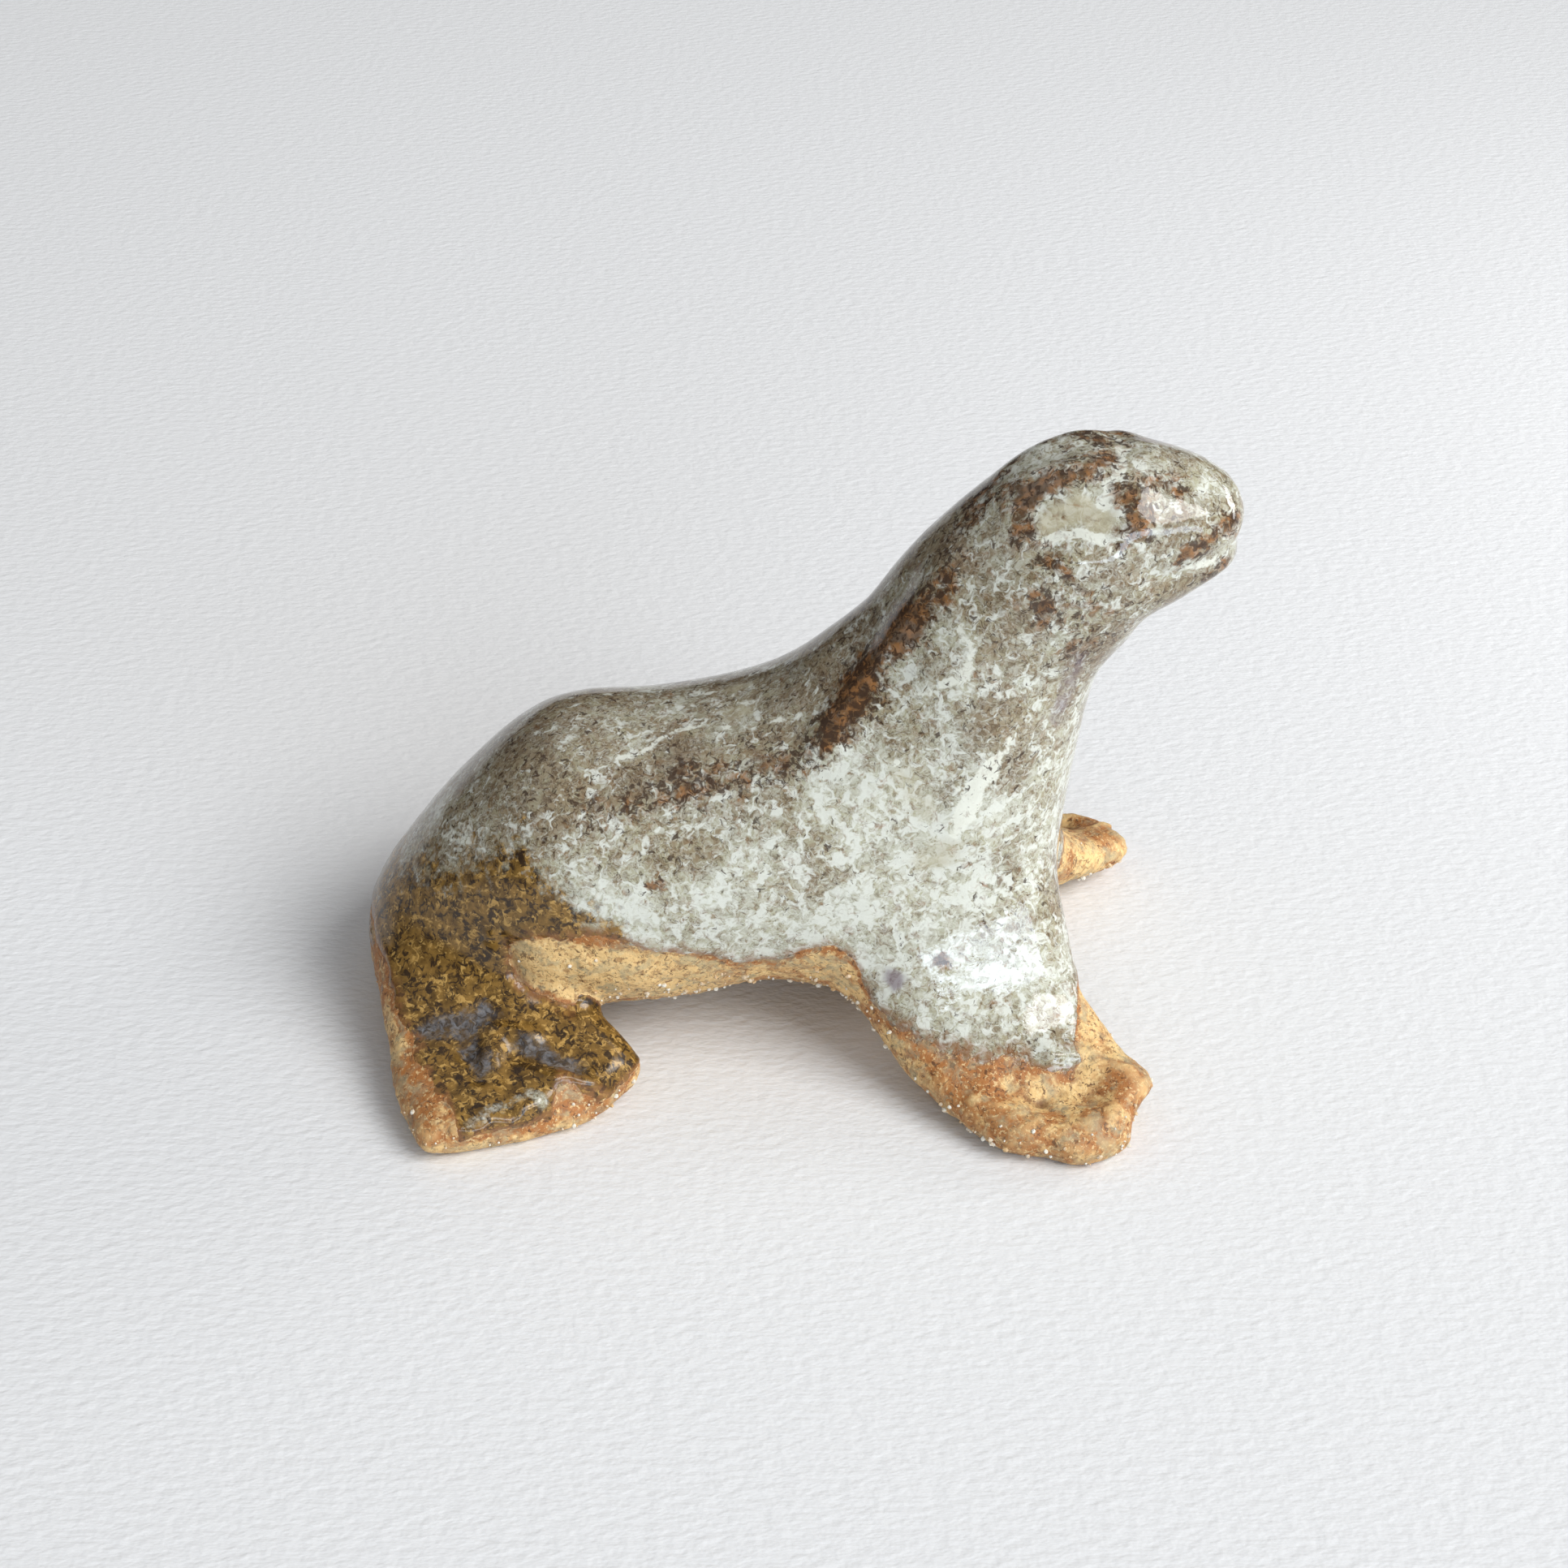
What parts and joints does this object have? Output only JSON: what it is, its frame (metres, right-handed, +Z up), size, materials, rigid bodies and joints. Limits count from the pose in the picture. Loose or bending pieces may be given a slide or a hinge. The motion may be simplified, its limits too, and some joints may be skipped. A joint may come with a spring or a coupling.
{
  "type": "sea lion figurine",
  "caption": "Small hand-modelled stoneware sea lion with raised head, speckled glossy glaze above and bare clay flippers to stand on.",
  "frame": {"origin": "middle of the footprint's bounding box, on the surface that the flippers stand on", "axes": "+X the way the animal faces, +Y its left side, +Z up"},
  "size_m": [0.0518, 0.0358, 0.038],
  "materials": {
    "speckled_stoneware": "glossy speckled grey-green glaze that breaks brown on the ridges, over bare tan clay at the belly and flippers"
  },
  "bodies": {
    "root": {"seal_figurine": "speckled_stoneware"}
  },
  "joints": []
}
